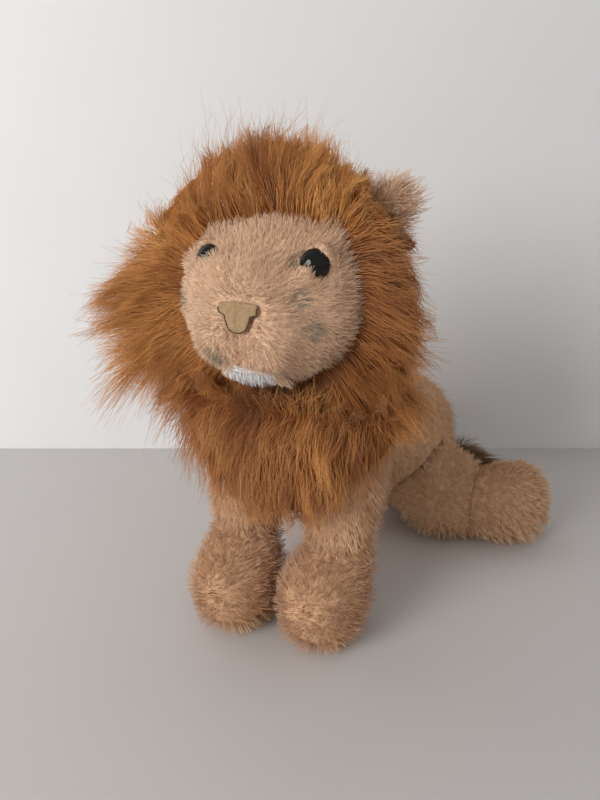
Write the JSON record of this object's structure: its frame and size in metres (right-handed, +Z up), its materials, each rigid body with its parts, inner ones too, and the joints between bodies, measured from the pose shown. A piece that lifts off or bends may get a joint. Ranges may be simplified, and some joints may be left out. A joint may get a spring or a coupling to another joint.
{
  "type": "plush lion",
  "caption": "Stuffed toy lion sitting up on straight forelegs, with a long-pile mane, sewn joints, safety eyes and a tufted tail.",
  "frame": {"origin": "on the floor under the middle of the rump, on the flat where the seat rests", "axes": "+Z up, the lion faces -Y, its left side is +X"},
  "size_m": [0.2608, 0.3075, 0.2804],
  "materials": {
    "sandy_plush": "short dense cut pile, sandy beige, matte",
    "face_plush": "short cut pile, paler and pinker than the body, matte",
    "mane_pile": "long straight pile, golden brown with paler tips, slight sheen",
    "tuft_pile": "long pile, dark brown",
    "chin_plush": "short cut pile, white",
    "nose_cloth": "smooth knit cloth, tan, stitched round with dark thread",
    "eye_plastic": "polished black",
    "washer_plastic": "plain moulded, hidden inside the head",
    "fibre_filling": "loose polyester fibre, hidden",
    "pellet_bag_cloth": "plain woven bag, hidden"
  },
  "bodies": {
    "torso": {"torso_skin": "sandy_plush", "torso_stuffing": "fibre_filling", "seat_pellet_bag": "pellet_bag_cloth", "foreleg_skin_left": "sandy_plush", "foreleg_skin_right": "sandy_plush", "foreleg_stuffing_left": "fibre_filling", "foreleg_stuffing_right": "fibre_filling", "mane_bib": "mane_pile"},
    "head": {"face_skin": "face_plush", "head_stuffing": "fibre_filling", "mane_hood": "mane_pile", "chin_patch": "chin_plush", "nose": "nose_cloth", "eye_left": "eye_plastic", "eye_right": "eye_plastic", "eye_washer_left": "washer_plastic", "eye_washer_right": "washer_plastic", "ear_left": "face_plush", "ear_right": "face_plush"},
    "hind_leg_left": {"thigh_skin_left": "sandy_plush", "hind_foot_skin_left": "sandy_plush", "hind_leg_stuffing_left": "fibre_filling"},
    "hind_leg_right": {"thigh_skin_right": "sandy_plush", "hind_foot_skin_right": "sandy_plush", "hind_leg_stuffing_right": "fibre_filling"},
    "tail": {"tail_skin": "sandy_plush", "tail_stuffing": "fibre_filling", "tail_tuft": "tuft_pile"}
  },
  "joints": [
    {"name": "head_turn", "type": "hinge", "parent": "torso", "child": "head", "pos_m": [0, -0.138, 0.152], "axis": [0, 0, 1], "range_deg": [-15, 15], "stiffness_Nm_per_rad": 0.15},
    {"name": "hip_left", "type": "hinge", "parent": "torso", "child": "hind_leg_left", "pos_m": [0.05241, -0.016, 0.0345], "axis": [0, 0, 1], "range_deg": [-25, 3], "stiffness_Nm_per_rad": 0.06},
    {"name": "hip_right", "type": "hinge", "parent": "torso", "child": "hind_leg_right", "pos_m": [-0.05241, -0.016, 0.0345], "axis": [0, 0, 1], "range_deg": [-3, 25], "stiffness_Nm_per_rad": 0.06},
    {"name": "tail_swing", "type": "hinge", "parent": "torso", "child": "tail", "pos_m": [0, 0.061, 0.0115], "axis": [0, 0, 1], "range_deg": [0, 50], "stiffness_Nm_per_rad": 0.006}
  ]
}
